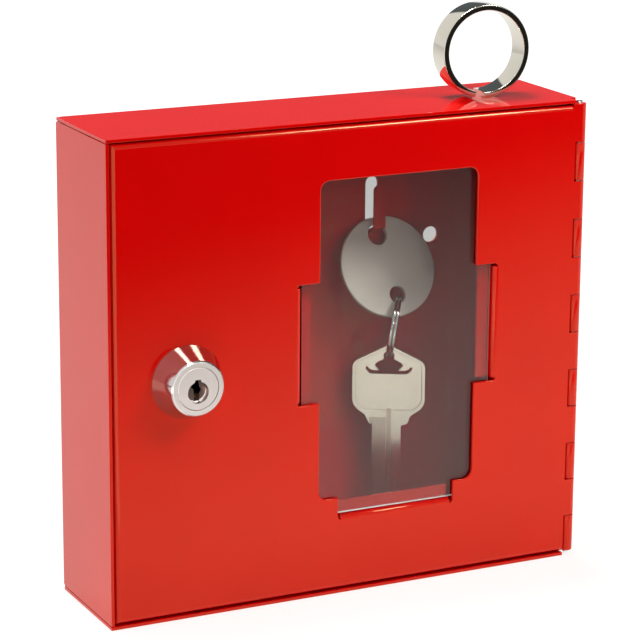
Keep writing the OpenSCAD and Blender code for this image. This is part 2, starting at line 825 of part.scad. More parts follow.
// Places the tag's own frame: hook hole at the origin, the ring hole below it
module at_tag() {
  translate([hook_x, tag_y, tag_z]) rotate([-hook_rise, 0, 0]) children();
}

module key_tag() {
  r = tag_d / 2;
  h = tag_t / 2;
  color([0.6, 0.58, 0.52]) in_case() at_tag() rotate([0, -tag_turn, 0]) difference() {
    translate([0, 0, -tag_hook_offset])
      turned([[0, -h], [r - tag_rim, -h], [r, -h + tag_rim], [r, h - tag_rim],
              [r - tag_rim, h], [0, h]]);
    translate([0, -tag_t, 0]) rod_y(tag_hook_hole / 2, 2 * tag_t);
    translate([0, -tag_t, -tag_pitch]) rod_y(tag_ring_hole / 2, 2 * tag_t);
  }
}

// Places the link ring's frame: its top at the origin, its axis along X
module at_link() {
  translate([link_x, link_y, link_z]) rotate([0, 0, -link_yaw]) rotate([0, link_lean, 0])
    children();
}

// Split ring of two turns side by side
module link_ring() {
  r_in = link_d / 2 - link_t;
  r_out = link_d / 2;
  w = link_w / 2;
  c = link_t / 5;
  g = link_groove;
  color("silver") in_case() at_link() translate([0, 0, -link_mid]) rotate([0, 90, 0])
    rotate_extrude($fn = 96)
      polygon([[r_in, -w + c], [r_in + c, -w], [r_out - c, -w], [r_out, -w + c],
               [r_out, -g / 2], [r_out - g, 0], [r_out, g / 2], [r_out, w - c],
               [r_out - c, w], [r_in + c, w], [r_in, w - c], [r_in, g / 2], [r_in + g, 0],
               [r_in, -g / 2]]);
}

// Points of an arc about [x, z] from angle a to angle b, with n steps
function arc(x, z, r, a, b, n) = [for (i = [0 : n]) let (t = a + (b - a) * i / n)
  [x + r * cos(t), z + r * sin(t)]];

// Whole outline of the key: bow with a sloped top, right shoulder in two rounded steps, straight
// uncut blade with its point, and the spike of the left shoulder
module key_outline() {
  w = key_bow_w / 2;
  cheek = key_apex - 4.4;
  low = key_shoulder + 8.2;
  top_r = 3.2;
  low_r = 5;
  z = key_shoulder;
  left = key_blade_left;
  right = key_blade_right;
  polygon(concat(
    arc(0, key_apex - 2.2, 2.2, 118, 62, 6),
    arc(w - top_r, cheek - top_r, top_r, 62, 0, 8),
    arc(w - low_r, low, low_r, 0, -54, 8),
    [[right + 4.1, z + 3.2], [right + 3.3, z + 2.8], [right + 2.7, z + 2], [right + 2.4, z + 0.5],
     [right + 1.9, z - 0.1], [right + 0.5, z - 0.6], [right, z - 0.8],
     [right, key_tip + 3.8], [0.4, key_tip], [-1, key_tip], [left + 0.6, key_tip + 2],
     [left, key_tip + 3], [left, z + 0.2], [left - 0.4, z - 0.7], [left - 0.9, z - 0.4],
     [left - 1.5, z + 0.9], [left - 2.4, z + 2.8]],
    arc(-w + low_r, low, low_r, 234, 180, 8),
    arc(-w + top_r, cheek - top_r, top_r, 180, 118, 8)));
}

// Panel that is pressed a little into both faces, inside the bow's rim
module key_panel_outline() {
  rim = 1.1;
  w = key_bow_w / 2 - rim;
  cheek = key_apex - 4.4 - rim / 2;
  low = key_shoulder + 4.4;
  top_r = 2.4;
  low_r = 4.2;
  polygon(concat(
    arc(0, key_apex - rim - 2.2, 2.2, 118, 62, 6),
    arc(w - top_r, cheek - top_r, top_r, 62, 0, 8),
    arc(w - low_r, low + low_r, low_r, 0, -90, 8),
    arc(-w + low_r, low + low_r, low_r, 270, 180, 8),
    arc(-w + top_r, cheek - top_r, top_r, 180, 118, 8)));
}

// Fan-shaped eye with a notch on top that the ring sits in, and a smile-shaped slot below it
module key_eye() {
  notch = link_w * 0.9;
  z = key_eye_top - 3.1;
  polygon(concat(
    arc(0, key_eye_top - notch, notch, 150, 30, 10),
    [[1.6, z + 0.5]],
    arc(0, z - 5.4, 6, 68, 40, 6),
    [[2.5, z - 3.9], [2.5, z - 4.4], [-2.5, z - 4.4], [-2.5, z - 3.9]],
    arc(0, z - 5.4, 6, 140, 112, 6),
    [[-1.6, z + 0.5]]));
  for (side = [-1, 1]) polygon([
    [side * 2, z - 3.3], [side * 5.2, z - 3.3], [side * 6.2, z - 2.9], [side * 7, z - 2],
    [side * 7.5, z - 2.4], [side * 7.1, z - 3.3], [side * 6.2, z - 4.2], [side * 5.6, z - 4.4],
    [side * 2, z - 4.4]]);
}

module spare_key() {
  half = key_t / 2;
  groove_d = key_t * 0.3;
  color([0.8, 0.76, 0.68]) in_case() translate([key_x, key_y, key_z])
    rotate([0, 0, -link_yaw]) difference() {
      translate([0, -half, 0]) plate(key_t) difference() {
        key_outline();
        key_eye();
      }
      for (face = [-1, 1]) translate([0, face * half - key_panel_depth, 0])
        plate(2 * key_panel_depth) key_panel_outline();
      // Narrow groove along the middle and a wide one along the left edge, on both faces
      for (face = [-1, 1]) translate([0, face * half - groove_d, 0]) plate(2 * groove_d) {
        translate([key_slot_x, key_tip - past])
          square([key_slot_w, key_blade_len + 4.1 + past]);
        translate([key_slot_x + key_slot_w / 2, key_shoulder + 4.1])
          circle(key_slot_w / 2, $fn = 24);
        translate([key_blade_left - past, key_tip - past])
          square([key_slot_x - key_blade_left - 0.15 + past, key_blade_len + 1.9 + past]);
      }
    }
}

// Wide open ring that stands loose on the top
module loose_ring() {
  r = loose_d / 2;
  e = loose_edge;
  slit_x = -loose_slit * 0.65;
  color("silver") in_case() translate([loose_mid_x, loose_back, body_h + r])
    rotate([0, 0, -loose_yaw]) difference() {
      rotate([-90, 0, 0]) rotate_extrude($fn = 96)
        polygon([[r - loose_t, e], [r - loose_t + e, 0], [r - e, 0], [r, e],
                 [r, loose_w - e], [r - e, loose_w], [r - loose_t + e, loose_w],
                 [r - loose_t, loose_w - e]]);
      translate([slit_x - loose_slit / 2, -past, -r - past])
        cube([loose_slit, loose_w + 2 * past, r]);
    }
}

body_shell();
keeper_bracket();
door_panel();
hinge_pin();
break_pane();
lock_housing();
lock_washer();
lock_nut();
lock_plug();
wafer(0);  // wafer_1
wafer(1);  // wafer_2
wafer(2);  // wafer_3
wafer(3);  // wafer_4
wafer(4);  // wafer_5
wafer_springs();
cam_stop();
lock_cam();
cam_washer();
cam_screw();
key_tag();
link_ring();
spare_key();
loose_ring();
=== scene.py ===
import math

import bmesh
import bpy
from mathutils import Matrix, Vector


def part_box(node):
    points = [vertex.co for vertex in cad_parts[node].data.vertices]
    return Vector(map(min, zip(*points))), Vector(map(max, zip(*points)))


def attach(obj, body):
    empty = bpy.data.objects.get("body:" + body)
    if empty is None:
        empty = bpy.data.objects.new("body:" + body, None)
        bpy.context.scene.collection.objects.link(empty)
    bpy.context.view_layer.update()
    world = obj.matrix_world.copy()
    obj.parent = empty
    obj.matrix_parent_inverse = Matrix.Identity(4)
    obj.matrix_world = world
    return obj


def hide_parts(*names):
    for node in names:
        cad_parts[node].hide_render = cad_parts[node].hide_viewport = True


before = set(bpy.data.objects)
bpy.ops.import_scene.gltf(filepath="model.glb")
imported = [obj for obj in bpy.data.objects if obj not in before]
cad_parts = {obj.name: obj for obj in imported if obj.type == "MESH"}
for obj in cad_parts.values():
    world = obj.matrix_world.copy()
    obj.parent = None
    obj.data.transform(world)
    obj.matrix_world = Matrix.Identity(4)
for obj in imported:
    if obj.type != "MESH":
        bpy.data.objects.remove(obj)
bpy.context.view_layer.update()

mm = 0.001
print("frame loaded:", len(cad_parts), "nodes")


cameraValues = {
    "target": (-10.98, -20.5, 89.08),  # mm, a point on the door that the lens is aimed at
    "distance": 820.63,  # mm
    "yaw": 26.37,  # degrees
    "pitch": 14.96,
    "roll": 0.44,
    "lens": 152.39,  # mm
    "sensor": 36,  # mm
    "nearest": 0.01,  # m
}


def placeCamera(values):
    yaw, pitch, roll = (math.radians(values[k]) for k in ("yaw", "pitch", "roll"))
    turn = Matrix.Rotation(-yaw, 4, "Z") @ Matrix.Rotation(math.pi / 2 - pitch, 4, "X")
    turn = turn @ Matrix.Rotation(roll, 4, "Z")
    forward = turn @ Vector((0, 0, -1))
    camera = bpy.data.objects.new("camera", bpy.data.cameras.new("camera"))
    bpy.context.scene.collection.objects.link(camera)
    camera.matrix_world = (
        Matrix.Translation((Vector(values["target"]) - forward * values["distance"]) * mm) @ turn
    )
    camera.data.lens = values["lens"]
    camera.data.sensor_width = values["sensor"]
    camera.data.clip_start = values["nearest"]
    bpy.context.scene.camera = camera


def addNode(tree, kind, inputs=None, **settings):
    node = tree.nodes.new("ShaderNode" + kind)
    for name, value in settings.items():
        setattr(node, name, value)
    for name, value in (inputs or {}).items():
        if isinstance(value, bpy.types.NodeSocket):
            tree.links.new(value, node.inputs[name])
        else:
            node.inputs[name].default_value = value
    return node


def maths(tree, operation, *values):
    return addNode(tree, "Math", dict(enumerate(values)), operation=operation).outputs[0]


def vectorMaths(tree, operation, *values, output="Vector"):
    return addNode(tree, "VectorMath", dict(enumerate(values)), operation=operation).outputs[output]


def product(tree, first, *others):
    for value in others:
        first = maths(tree, "MULTIPLY", first, value)
    return first


def oneMinus(tree, value):
    return maths(tree, "SUBTRACT", 1.0, value)


def clamped(tree, value):
    return addNode(tree, "Clamp", {"Value": value}).outputs[0]


def mixColour(tree, factor, a, b):
    return addNode(tree, "Mix", {0: factor, 6: a, 7: b}, data_type="RGBA").outputs[2]


def mixNumber(tree, factor, a, b):
    return addNode(tree, "Mix", {0: factor, 2: a, 3: b}, data_type="FLOAT").outputs[0]


def spread(tree, value, low, high, toLow=0.0, toHigh=1.0):
    inputs = {"Value": value, "From Min": low, "From Max": high, "To Min": toLow, "To Max": toHigh}
    return addNode(tree, "MapRange", inputs, interpolation_type="SMOOTHSTEP").outputs["Result"]


def objectPlace(tree):
    return addNode(tree, "TexCoord").outputs["Object"]


floorValues = {
    "size": 12.0,  # m
    "below": 0.0002,  # m, from the box's foot down to the floor
    "colour": (0.27, 0.268, 0.265, 1),
    "speck": (0.7, 0.69, 0.67, 1),
    "speckScale": 900.0,
    "speckShare": 0.06,
    "roughness": 0.9,
    "specular": 0.1,
    "glow": (0.78, 1.0),  # lifts the floor to white for the lens, beside the box and far from it
    "glowReach": (0.18, 0.75),  # m from the box
    "behindGlass": 0.60,  # the lift as seen through the pane
    "paneFaces": 2.5,  # light that has crossed more faces than this also left through the pane
    "bounce": 1.05,  # light that the table in front throws back on the box
    "bounceReach": (-0.40, -0.15),  # m
    "mirrored": 0.76,  # the same lift as gloss and metal see it
    "plain": (1, 0.995, 0.985, 1),  # tone of the lifted floor
    "warm": (1.0, 0.96, 0.88, 1),  # tone of the table in front
    "frontStart": (0.08, -0.08),  # m
    "tableFront": -0.235,  # m, where the pale table fades out in front, as gloss and metal see it
    "tableFade": 0.185,
    "tableSlant": 0.6,
    "tableLeft": (-0.055, -0.030),  # m, the table's left part stays pale
    "leftStart": (-0.12, -0.085),
    "leftGlow": 2.1,  # and is brighter
    "beyond": (0.006, 0.006, 0.006, 1),
}


def floorPaths(tree, values):
    # Which light asks for the floor's colour: through the pane, at the lens, or off gloss and metal
    path = addNode(tree, "LightPath").outputs
    offMetal = maths(tree, "GREATER_THAN", path["Glossy Depth"], 0.5)  # off the key, out through the pane
    outAgain = maths(tree, "GREATER_THAN", path["Transmission Depth"], values["paneFaces"])
    bounced = product(tree, offMetal, outAgain)
    through = product(tree, path["Is Transmission Ray"], oneMinus(tree, bounced))
    lens = maths(tree, "MAXIMUM", path["Is Camera Ray"], through)
    gloss = product(tree, path["Is Glossy Ray"], oneMinus(tree, lens))
    return through, lens, gloss, path["Is Diffuse Ray"]


def paleTable(tree, x, y, values):
    # Strength of the pale table that gloss and metal show
    edge, fade = values["tableFront"], values["tableFade"]
    across = maths(tree, "MULTIPLY_ADD", x, values["tableSlant"], y)
    table = spread(tree, across, edge - fade, edge + fade)
    (left, right), (far, near) = values["tableLeft"], values["leftStart"]
    onLeft = product(tree, spread(tree, x, right, left), spread(tree, y, near, far), values["leftGlow"])
    return maths(tree, "MAXIMUM", table, onLeft)


def layFloor(values):
    shape = bmesh.new()
    bmesh.ops.create_grid(shape, x_segments=1, y_segments=1, size=values["size"] / 2)
    bmesh.ops.translate(shape, vec=(0, 0, -values["below"]), verts=shape.verts)
    mesh = bpy.data.meshes.new("floor")
    shape.to_mesh(mesh)
    shape.free()
    floor = bpy.data.objects.new("floor", mesh)
    bpy.context.scene.collection.objects.link(floor)

    material, tree, shader = startMaterial("paleFloor", values["colour"])
    place = objectPlace(tree)
    x, y, _ = addNode(tree, "SeparateXYZ", {0: place}).outputs
    through, lens, gloss, diffuse = floorPaths(tree, values)
    table = paleTable(tree, x, y, values)

    speck = addNode(tree, "TexNoise", {"Vector": place, "Scale": values["speckScale"], "Detail": 2.0})
    share = product(tree, speck.outputs["Fac"], values["speckShare"])
    paper = mixColour(tree, share, values["colour"], values["speck"])
    lost = clamped(tree, product(tree, gloss, oneMinus(tree, table)))
    tree.links.new(mixColour(tree, lost, paper, values["beyond"]), shader.inputs["Base Color"])
    shader.inputs["Roughness"].default_value = values["roughness"]
    shader.inputs["Specular IOR Level"].default_value = values["specular"]

    ahead = spread(tree, y, *values["frontStart"])
    tone = mixColour(tree, product(tree, ahead, gloss), values["plain"], values["warm"])
    tree.links.new(tone, shader.inputs["Emission Color"])
    away = vectorMaths(tree, "LENGTH", place, output="Value")
    lift = spread(tree, away, *values["glowReach"], *values["glow"])
    seen = mixNumber(tree, through, lift, product(tree, lift, values["behindGlass"]))
    near = product(tree, ahead, spread(tree, y, *values["bounceReach"]))
    thrown = product(tree, diffuse, near, values["bounce"])
    mirrored = product(tree, gloss, table, values["mirrored"])
    glow = maths(tree, "MULTIPLY_ADD", lens, seen, maths(tree, "ADD", mirrored, thrown))
    tree.links.new(glow, shader.inputs["Emission Strength"])
    mesh.materials.append(material)


worldValues = {
    "room": (0.04, 0.04, 0.041, 1),  # plain level that lights the box
    "screen": (0.98, 0.97, 0.95, 1),  # pale screen on the left, as metal and glass see it
    "slate": (0.11, 0.13, 0.14, 1),  # dark room on the right and above
    "front": (0.50, 0.48, 0.44, 1),  # lit room in front
    "white": (1, 1, 1, 1),
    "screenEdge": 0.08,
    "frontEdge": (-0.15, -0.45),
    "soft": 0.03,
    "horizon": 0.115,  # sine of the height up to which the backdrop is white
}


def lightRoom(values):
    world = bpy.data.worlds.new("studio")
    world.use_nodes = True
    tree = world.node_tree
    background = tree.nodes["Background"]
    soft, edge, horizon = values["soft"], values["screenEdge"], values["horizon"]
    x, y, z = addNode(tree, "SeparateXYZ", {0: addNode(tree, "TexCoord").outputs["Generated"]}).outputs
    room = mixColour(tree, spread(tree, y, *values["frontEdge"]), values["slate"], values["front"])
    wall = mixColour(tree, spread(tree, x, edge - soft, edge + soft), values["screen"], room)
    studio = mixColour(tree, spread(tree, z, horizon, horizon + soft), values["white"], wall)
    path = addNode(tree, "LightPath").outputs
    direct = maths(tree, "MAXIMUM", path["Is Camera Ray"], path["Is Glossy Ray"])
    direct = maths(tree, "MAXIMUM", direct, path["Is Transmission Ray"])
    tree.links.new(mixColour(tree, direct, values["room"], studio), background.inputs["Color"])
    background.inputs["Strength"].default_value = 1
    bpy.context.scene.world = world


lampAim = (0, 0, 0.08)  # m

lampValues = {  # from: the way to the lamp; away and size in m; power in W
    "frontBox": {
        "from": (0.12, -0.94, 0.316), "away": 1.00, "size": (0.10, 0.10),
        "power": 0.85, "colour": (1.0, 0.97, 0.93), "mirrored": True,
    },
    "rightBox": {
        "from": (0.450, -0.577, 0.680), "away": 0.544, "size": (0.15, 0.11),
        "power": 1.45, "colour": (1.0, 0.97, 0.93), "mirrored": True,
    },
    "upperBox": {
        "from": (-0.056, -0.431, 0.901), "away": 1.07, "size": (0.18, 0.20),
        "power": 2.0, "colour": (1.0, 0.98, 0.96), "mirrored": True,
    },
    "topBox": {
        "from": (-0.05, 0.25, 0.968), "away": 1.10, "size": (0.40, 0.30),
        "power": 12.2, "colour": (1.0, 0.98, 0.96), "mirrored": True,
    },
    "leftFill": {
        "from": (-0.90, 0.10, 0.42), "away": 1.30, "size": (0.90, 0.90),
        "power": 9.9, "colour": (0.97, 0.98, 1.0), "mirrored": False,
    },
}


def hangLamps(lamps, aim):
    for name, lamp in lamps.items():
        light = bpy.data.lights.new(name, "AREA")
        light.shape = "RECTANGLE"
        light.size, light.size_y = lamp["size"]
        light.energy = lamp["power"]
        light.color = lamp["colour"]
        holder = bpy.data.objects.new(name, light)
        bpy.context.scene.collection.objects.link(holder)
        way = Vector(lamp["from"]).normalized()
        holder.location = Vector(aim) + way * lamp["away"]
        holder.rotation_euler = way.to_track_quat("Z", "Y").to_euler()
        holder.visible_camera = False
        holder.visible_glossy = lamp["mirrored"]


def startMaterial(name, viewColour):
    material = bpy.data.materials.new(name)
    material.use_nodes = True
    material.diffuse_color = viewColour
    return material, material.node_tree, material.node_tree.nodes["Principled BSDF"]


placeCamera(cameraValues)
layFloor(floorValues)
lightRoom(worldValues)
hangLamps(lampValues, lampAim)
bpy.context.scene.view_settings.view_transform = "Standard"
print("camera, floor and lamps in place")


noiseRange = (0.3, 0.7)  # where most of a noise's values lie


def startGroup(name, inputs, outputs):
    tree = bpy.data.node_groups.new(name, "ShaderNodeTree")
    for label, value in inputs.items():
        kind = "NodeSocketVector" if isinstance(value, tuple) else "NodeSocketFloat"
        tree.interface.new_socket(label, in_out="INPUT", socket_type=kind).default_value = value
    for label in outputs:
        tree.interface.new_socket(label, in_out="OUTPUT", socket_type="NodeSocketFloat")
    return tree, tree.nodes.new("NodeGroupInput").outputs, tree.nodes.new("NodeGroupOutput").inputs


def noise(tree, place, scale, detail, roughness=0.5):
    inputs = {"Vector": place, "Scale": scale, "Detail": detail, "Roughness": roughness}
    return addNode(tree, "TexNoise", inputs).outputs


grainValues = {
    "inputs": {"Scale": 1500.0, "Slow": 60.0, "Stretch": (1.0, 1.0, 1.0)},
    "fine": (3.0, 0.6),  # detail and roughness
    "slow": 2.0,
}


def makeGrain(values):
    # Fine surface relief and a slow change of tone over the piece
    tree, given, out = startGroup("grain", values["inputs"], ["Height", "Tone"])
    place = objectPlace(tree)
    drawn = vectorMaths(tree, "MULTIPLY", place, given["Stretch"])
    fine = noise(tree, drawn, given["Scale"], *values["fine"])
    slow = noise(tree, place, given["Slow"], values["slow"])
    tree.links.new(fine["Fac"], out["Height"])
    tree.links.new(slow["Fac"], out["Tone"])
    return tree


rubValues = {
    "inputs": {"Scale": 300.0, "Stretch": (1.0, 1.0, 0.05), "Share": 0.5},
    "waveScale": 40.0,
    "wave": (0.004, 0.004, 0.004),  # m, how far the lines wander
    "lines": (2.0, 0.7),  # detail and roughness
    "threshold": 0.8,
    "shareReach": 0.25,
    "contrast": 12.0,
}


def makeRubs(values):
    # Sparse hairline rubs, long along one direction
    tree, given, out = startGroup("rubs", values["inputs"], ["Mask"])
    place = objectPlace(tree)
    bent = noise(tree, place, values["waveScale"], 1.0)
    moved = vectorMaths(tree, "ADD", place, vectorMaths(tree, "MULTIPLY", bent["Color"], values["wave"]))
    drawn = vectorMaths(tree, "MULTIPLY", moved, given["Stretch"])
    lines = noise(tree, drawn, given["Scale"], *values["lines"])
    fewer = product(tree, given["Share"], values["shareReach"])
    above = maths(tree, "SUBTRACT", lines["Fac"], maths(tree, "SUBTRACT", values["threshold"], fewer))
    tree.links.new(clamped(tree, product(tree, above, values["contrast"])), out["Mask"])
    return tree


dustValues = {
    "inputs": {"Amount": 0.1, "Scale": 700.0},
    "facing": (0.5, 0.98),  # of the normal's Z
    "specks": (4.0, 0.7),  # detail and roughness
    "patches": (0.45, 0.8),
}


def makeDust(values):
    # Faint dust that lies on faces that look up
    tree, given, out = startGroup("dust", values["inputs"], ["Mask"])
    normal = addNode(tree, "NewGeometry").outputs["Normal"]
    up = spread(tree, addNode(tree, "SeparateXYZ", {0: normal}).outputs["Z"], *values["facing"])
    specks = noise(tree, objectPlace(tree), given["Scale"], *values["specks"])
    patchy = spread(tree, specks["Fac"], *values["patches"])
    tree.links.new(product(tree, up, patchy, given["Amount"]), out["Mask"])
    return tree


edgeValues = {
    "inputs": {"Start": 0.51, "Full": 0.58, "Amount": 0.5},
    "breakScale": 350.0,
    "breaks": (0.35, 0.65, 0.4, 1.0),
    "flats": (0.9995, 0.995),  # largest part of a normal, from the large flats to the rest
}


def makeEdges(values):
    # Where a finish wears or gathers along an edge
    tree, given, out = startGroup("edges", values["inputs"], ["Mask"])
    point = addNode(tree, "NewGeometry").outputs["Pointiness"]
    past = maths(tree, "SUBTRACT", point, given["Start"])
    reach = maths(tree, "DIVIDE", past, maths(tree, "SUBTRACT", given["Full"], given["Start"]))
    broken = noise(tree, objectPlace(tree), values["breakScale"], 3.0)
    kept = spread(tree, broken["Fac"], *values["breaks"])
    normal = addNode(tree, "TexCoord").outputs["Normal"]
    x, y, z = addNode(tree, "SeparateXYZ", {0: vectorMaths(tree, "ABSOLUTE", normal)}).outputs
    most = maths(tree, "MAXIMUM", maths(tree, "MAXIMUM", x, y), z)
    kept = product(tree, kept, spread(tree, most, *values["flats"]))  # none on the large flats
    tree.links.new(product(tree, clamped(tree, reach), kept, given["Amount"]), out["Mask"])
    return tree


effects = {
    "grain": makeGrain(grainValues),
    "rubs": makeRubs(rubValues),
    "dust": makeDust(dustValues),
    "edges": makeEdges(edgeValues),
}


def effect(tree, name, **inputs):
    node = tree.nodes.new("ShaderNodeGroup")
    node.node_tree = effects[name]
    for label, value in inputs.items():
        node.inputs[label].default_value = value
    return node.outputs


def bump(tree, shader, height, distance, strength=1.0):
    node = addNode(tree, "Bump", {"Height": height, "Distance": distance, "Strength": strength})
    tree.links.new(node.outputs["Normal"], shader.inputs["Normal"])


enamelValues = {
    "red": (0.70, 0.0006, 0.0010, 1),
    "deep": (0.66, 0.0004, 0.0008, 1),  # slow change of tone in the sprayed coat
    "edge": (0.80, 0.02, 0.015, 1),  # thinner, lighter coat on folded edges
    "edgeInputs": {"Start": 0.52, "Full": 0.62, "Amount": 0.5},
    "dust": (0.75, 0.45, 0.42, 1),
    "dustInputs": {"Amount": 0.03, "Scale": 900.0},
    "dustRough": 0.4,
    "roughness": (0.05, 0.10),
    "ior": 1.46,
    "tint": (1.0, 0.94, 0.50, 1),  # of the coat's mirror image
    "peel": 420.0,  # 1/m, size of the sprayed coat's orange peel
    "peelDepth": 0.0025 * mm,
    "fine": 4200.0,  # 1/m
    "fineShare": 0.03,
    "slow": (22.0, 9.0),  # 1/m, for the colour and for the sheen
}


def redEnamel(name, values, shift):
    material, tree, shader = startMaterial(name, values["red"])
    colourSlow, sheenSlow = values["slow"]
    peel = effect(tree, "grain", Scale=values["peel"], Slow=colourSlow + shift)
    fine = effect(tree, "grain", Scale=values["fine"], Slow=sheenSlow + shift)
    colour = mixColour(tree, spread(tree, peel["Tone"], *noiseRange), values["red"], values["deep"])
    edge = effect(tree, "edges", **values["edgeInputs"])["Mask"]
    colour = mixColour(tree, edge, colour, values["edge"])
    lint = effect(tree, "dust", **values["dustInputs"])["Mask"]
    colour = mixColour(tree, lint, colour, values["dust"])
    tree.links.new(colour, shader.inputs["Base Color"])
    sheen = spread(tree, fine["Tone"], *noiseRange, *values["roughness"])
    rough = maths(tree, "ADD", sheen, product(tree, lint, values["dustRough"]))
    tree.links.new(rough, shader.inputs["Roughness"])
    relief = maths(tree, "ADD", peel["Height"], product(tree, fine["Height"], values["fineShare"]))
    bump(tree, shader, relief, values["peelDepth"])
    shader.inputs["IOR"].default_value = values["ior"]
    shader.inputs["Specular Tint"].default_value = values["tint"]
    return material


paneValues = {
    "tint": (0.62, 0.625, 0.615, 1),
    "shadow": (0.88, 0.88, 0.87, 1),  # what each face of the pane lets through to light what is behind it
    "ior": 1.49,
    "roughness": (0.0, 0.012),
    "haze": (0.4, 0.75),
    "wipeInputs": {"Scale": 90.0, "Slow": 18.0, "Stretch": (1.0, 1.0, 0.35)},
    "rubInputs": {"Scale": 220.0, "Stretch": (1.0, 1.0, 0.12), "Share": 0.1},
    "rubRough": 0.03,
    "relief": 0.004 * mm,
    "reliefShare": 0.25,
}


def clearPane(values):
    material, tree, shader = startMaterial("clearPane", (0.8, 0.85, 0.85, 0.3))
    shader.inputs["Base Color"].default_value = values["tint"]
    shader.inputs["Transmission Weight"].default_value = 1
    shader.inputs["IOR"].default_value = values["ior"]
    wiped = effect(tree, "grain", **values["wipeInputs"])
    rubs = effect(tree, "rubs", **values["rubInputs"])["Mask"]
    haze = spread(tree, wiped["Tone"], *values["haze"], *values["roughness"])
    rough = maths(tree, "ADD", haze, product(tree, rubs, values["rubRough"]))
    tree.links.new(rough, shader.inputs["Roughness"])
    bump(tree, shader, wiped["Height"], values["relief"], values["reliefShare"])
    # Lets the lamps through to the key behind the pane
    through = addNode(tree, "BsdfTransparent", {"Color": values["shadow"]}).outputs[0]
    shadow = addNode(tree, "LightPath").outputs["Is Shadow Ray"]
    both = addNode(tree, "MixShader", {0: shadow, 1: shader.outputs[0], 2: through})
    tree.links.new(both.outputs[0], tree.nodes["Material Output"].inputs["Surface"])
    return material


maskSoft = 0.06  # mm, how far a round patch's edge blends
grooveSoft = 0.04


def patchMask(tree, patch):
    # 1 inside a round patch seen from the front, between two depths
    place = objectPlace(tree)
    x, z = patch["centre"]
    edge, soft = patch["radius"] * mm, maskSoft * mm
    near, far = (y * mm for y in patch["depths"])
    flat = vectorMaths(tree, "MULTIPLY", place, (1, 0, 1))
    away = vectorMaths(tree, "DISTANCE", flat, (x * mm, 0, z * mm), output="Value")
    inside = spread(tree, away, edge + soft, edge - soft)
    depth = addNode(tree, "SeparateXYZ", {0: place}).outputs["Y"]
    behind = spread(tree, depth, near - soft, near + soft)
    before = spread(tree, depth, far + soft, far - soft)
    return product(tree, inside, product(tree, behind, before))


def grooveShadeMask(tree, patch):
    # 1 inside a flat piece, deeper than its faces: where the key's sunk parts get painted shade
    depth = vectorMaths(tree, "DOT_PRODUCT", objectPlace(tree), patch["across"], output="Value")
    away = maths(tree, "ABSOLUTE", maths(tree, "SUBTRACT", depth, patch["middle"] * mm))
    edge = patch["half"] * mm
    return spread(tree, away, edge + grooveSoft * mm, edge)


metalCommon = {
    "edgeInputs": {"Start": 0.51, "Full": 0.6},
    "dust": (0.5, 0.47, 0.43, 1),
    "dustScale": 1100.0,
    "dustRough": 0.5,
    "rubDepth": 0.6,
}


def metal(name, values, common):
    material, tree, shader = startMaterial(name, values["colour"])
    shader.inputs["Metallic"].default_value = values.get("metallic", 1)
    grain = effect(tree, "grain", Scale=values["grain"], Slow=values["slow"], Stretch=values["brush"])
    rubs = effect(
        tree, "rubs", Scale=values["rubScale"], Stretch=values["rubAlong"], Share=values["rubShare"]
    )["Mask"]
    edge = effect(tree, "edges", Amount=values["edgeAmount"], **common["edgeInputs"])["Mask"]
    lint = effect(tree, "dust", Amount=values["dust"], Scale=common["dustScale"])["Mask"]
    tone = spread(tree, grain["Tone"], *noiseRange)
    colour = mixColour(tree, tone, values["colour"], values["second"])
    colour = mixColour(tree, edge, colour, values["edge"])
    colour = mixColour(tree, lint, colour, common["dust"])
    rough = spread(tree, grain["Height"], *noiseRange, *values["roughness"])
    if "patch" in values:
        patch = values["patch"]
        mask = grooveShadeMask(tree, patch) if "across" in patch else patchMask(tree, patch)
        # The patch colour is painted shade in the plug's keyhole and in the key's sunk parts; on the lock it
        # is the rim's own paler tone
        colour = mixColour(tree, mask, colour, patch["colour"])
        rough = maths(tree, "MULTIPLY_ADD", mask, patch["rougher"], rough)
    tree.links.new(colour, shader.inputs["Base Color"])
    rough = maths(tree, "ADD", rough, product(tree, rubs, values["rubRough"]))
    rough = maths(tree, "ADD", rough, product(tree, lint, common["dustRough"]))
    tree.links.new(rough, shader.inputs["Roughness"])
    relief = maths(tree, "SUBTRACT", grain["Height"], product(tree, rubs, common["rubDepth"]))
    bump(tree, shader, relief, values["relief"])
    return material


